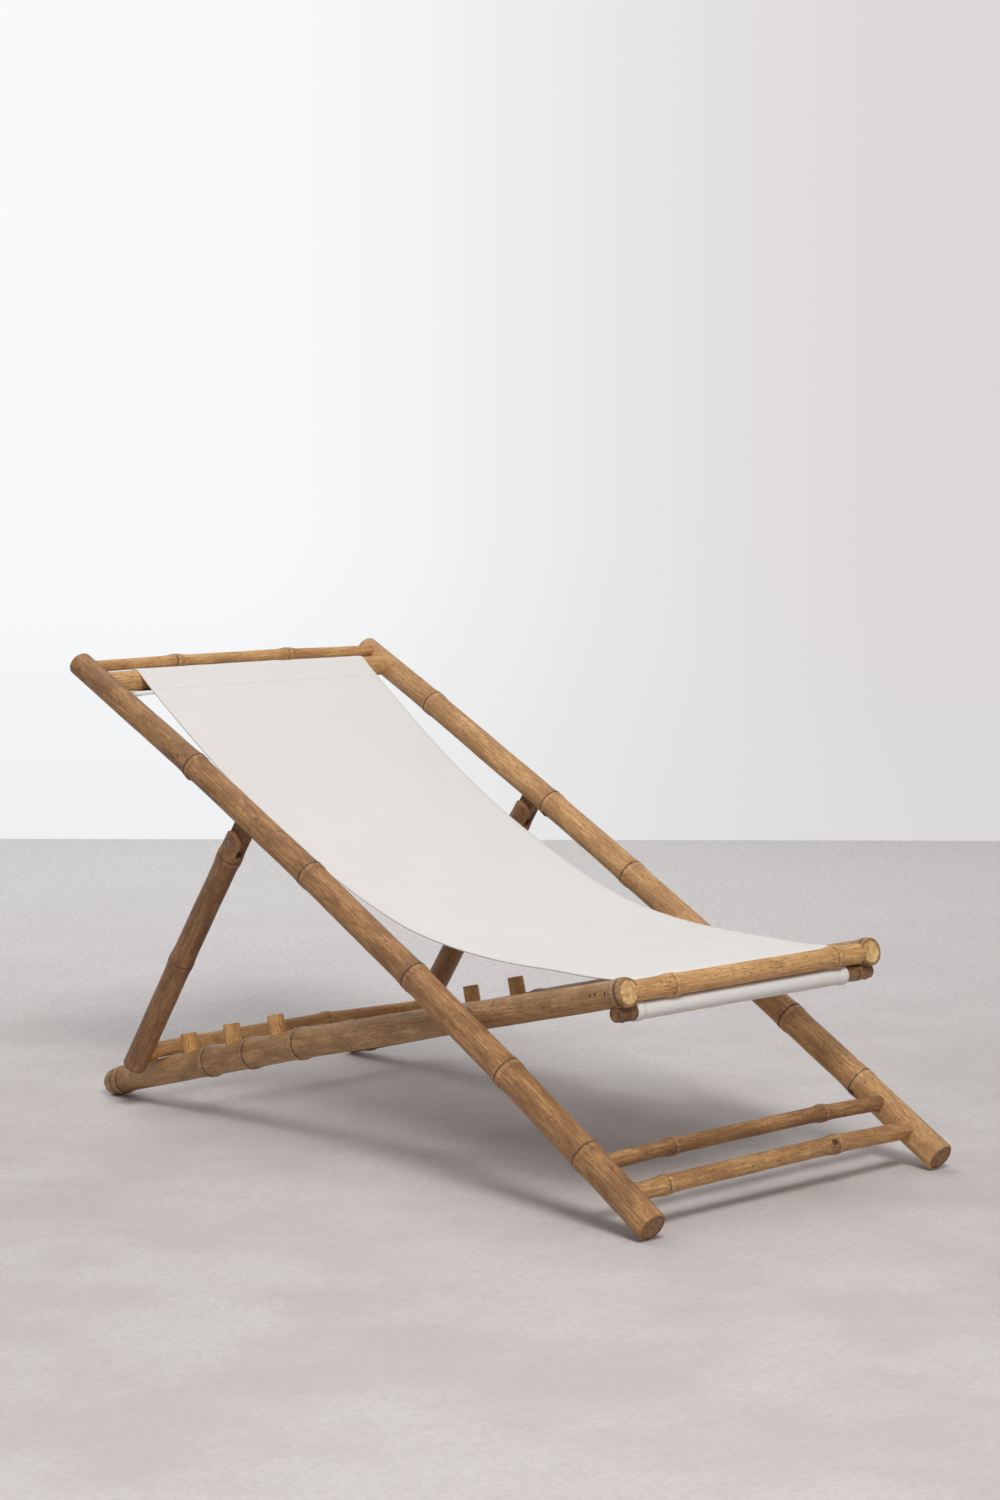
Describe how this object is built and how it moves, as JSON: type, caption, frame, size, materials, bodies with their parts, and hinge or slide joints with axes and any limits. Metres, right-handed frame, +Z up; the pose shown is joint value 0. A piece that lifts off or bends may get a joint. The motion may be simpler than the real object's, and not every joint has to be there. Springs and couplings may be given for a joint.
{
  "type": "folding recliner",
  "caption": "Folding bamboo recliner with a canvas sling, two crossing pole frames and a hinged prop that drops between pegs.",
  "frame": {"origin": "on the floor, in the middle of the chair's length and width", "axes": "+Z up, +Y towards the rear and the high end of the back frame, X across the chair"},
  "size_m": [0.6048, 1.2015, 0.6677],
  "materials": {
    "bamboo": "satin",
    "front_bamboo": "satin",
    "peg_wood": "satin",
    "fixings": "satin",
    "canvas": "matt"
  },
  "bodies": {
    "seat_frame": {"canvas_front_sleeve": "canvas", "canvas_sling": "canvas", "front_canvas_dowel": "front_bamboo", "front_rail": "front_bamboo", "left_pegs": "peg_wood", "left_side_pole": "bamboo", "pivot_washers": "fixings", "right_pegs": "peg_wood", "right_side_pole": "bamboo"},
    "back_frame": {"canvas_top_sleeve": "canvas", "left_hinge_tongue": "peg_wood", "left_long_pole": "bamboo", "lower_stretcher": "bamboo", "pivot_bolts": "fixings", "right_hinge_tongue": "peg_wood", "right_long_pole": "bamboo", "top_canvas_bar": "bamboo", "top_rail": "bamboo", "upper_stretcher": "bamboo"},
    "prop_frame": {"hinge_bolts": "fixings", "left_prop": "bamboo", "prop_crossbar": "bamboo", "right_prop": "bamboo"}
  },
  "joints": [
    {"name": "back_hinge", "type": "hinge", "parent": "seat_frame", "child": "back_frame", "pos_m": [0, -0.2254, 0.22956], "axis": [1, 0, 0], "range_deg": [0, 131], "deforming": ["canvas_sling"]},
    {"name": "prop_hinge", "type": "hinge", "parent": "back_frame", "child": "prop_frame", "pos_m": [0, 0.22379, 0.4181], "axis": [1, 0, 0], "range_deg": [0, 82.5]}
  ]
}
